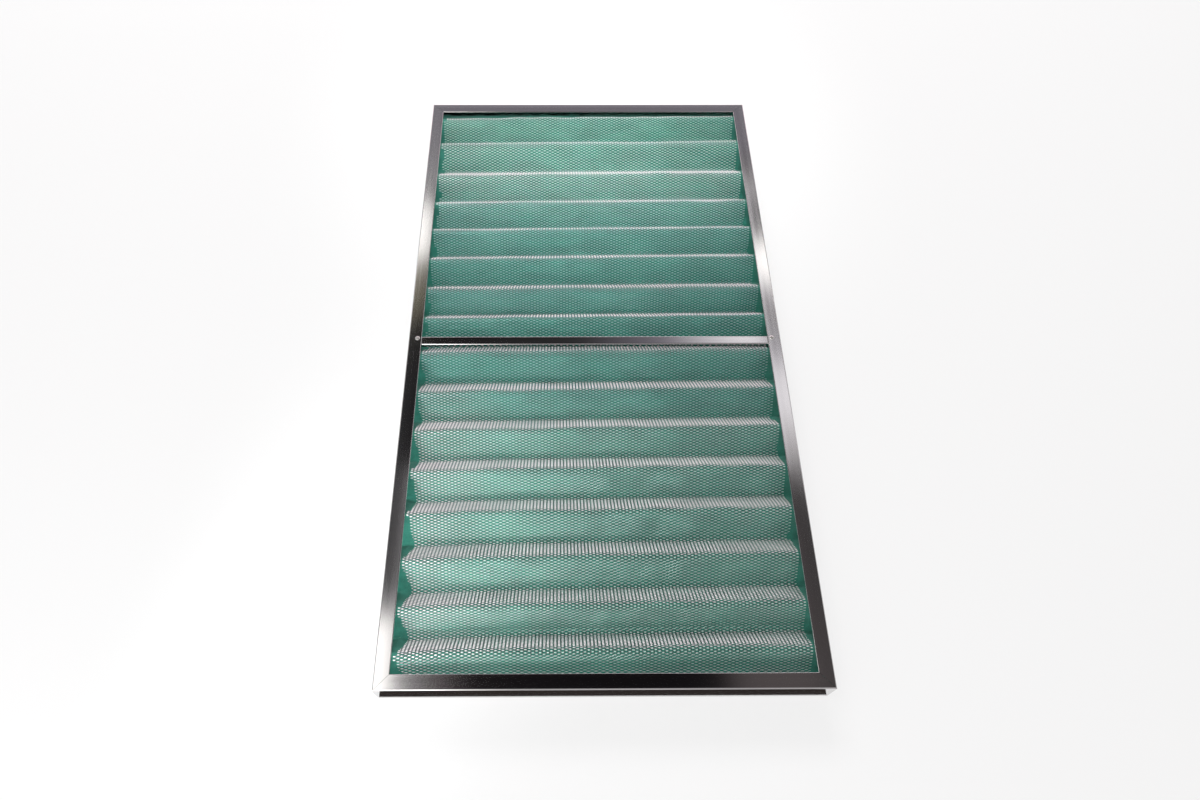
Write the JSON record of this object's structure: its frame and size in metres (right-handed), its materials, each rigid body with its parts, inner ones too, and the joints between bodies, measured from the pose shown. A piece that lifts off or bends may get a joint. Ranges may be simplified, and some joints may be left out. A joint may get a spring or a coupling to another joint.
{
  "type": "pleated panel air filter",
  "caption": "Pleated panel air filter: green synthetic pleats under expanded metal in a polished folded-sheet channel frame with a crossbar.",
  "frame": {"origin": "centre of the back face, on the surface that the filter lies on", "axes": "+Z out of the front face with the expanded metal, +Y along the length, +X across the width, along the pleats"},
  "size_m": [0.502, 0.915, 0.043],
  "materials": {
    "frame_sheet": "polished with fine lengthwise brushing",
    "rivet": "satin",
    "media": "matt green synthetic fibre",
    "expanded_metal": "bright unpainted"
  },
  "bodies": {
    "root": {"left_stile": "frame_sheet", "right_stile": "frame_sheet", "bottom_rail": "frame_sheet", "top_rail": "frame_sheet", "crossbar": "frame_sheet", "crossbar_rivets": "rivet", "corner_rivets": "rivet", "pleated_media": "media", "expanded_metal": "expanded_metal"}
  },
  "joints": []
}
